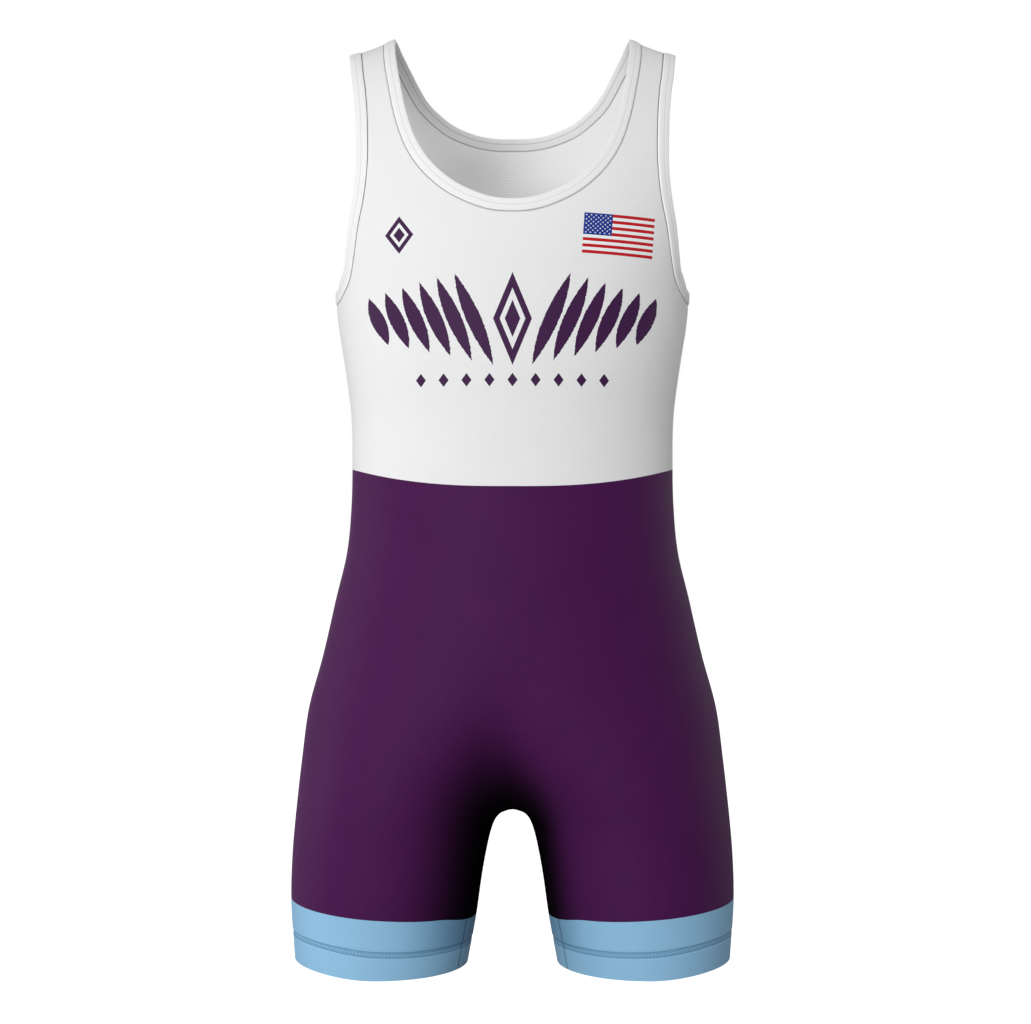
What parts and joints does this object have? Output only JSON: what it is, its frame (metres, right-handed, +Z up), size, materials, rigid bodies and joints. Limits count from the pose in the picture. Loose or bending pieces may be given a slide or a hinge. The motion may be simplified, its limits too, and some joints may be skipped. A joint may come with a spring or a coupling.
{
  "type": "wrestling singlet",
  "caption": "Sleeveless one-piece singlet with a scooped neck, bound openings and short banded legs, filled out as worn",
  "frame": {"origin": "between the two shoulder straps, level with the shoulders that hold the garment up", "axes": "+Z up, the front faces -Y, the wearer's left side is +X"},
  "size_m": [0.3864, 0.2382, 0.8042],
  "materials": {
    "white_knit": "matte white stretch knit with a fine weave",
    "purple_knit": "deep purple stretch knit with a soft low sheen",
    "blue_knit": "sky blue stretch knit",
    "white_binding": "white folded knit binding with fine stitching"
  },
  "bodies": {
    "root": {"chest_front": "white_knit", "chest_back": "white_knit", "trunk_front": "purple_knit", "trunk_back": "purple_knit", "leg_band_front_left": "blue_knit", "leg_band_front_right": "blue_knit", "leg_band_back_left": "blue_knit", "leg_band_back_right": "blue_knit", "neck_binding_front": "white_binding", "neck_binding_back": "white_binding", "armhole_binding_front_left": "white_binding", "armhole_binding_front_right": "white_binding", "armhole_binding_back_left": "white_binding", "armhole_binding_back_right": "white_binding"}
  },
  "joints": []
}
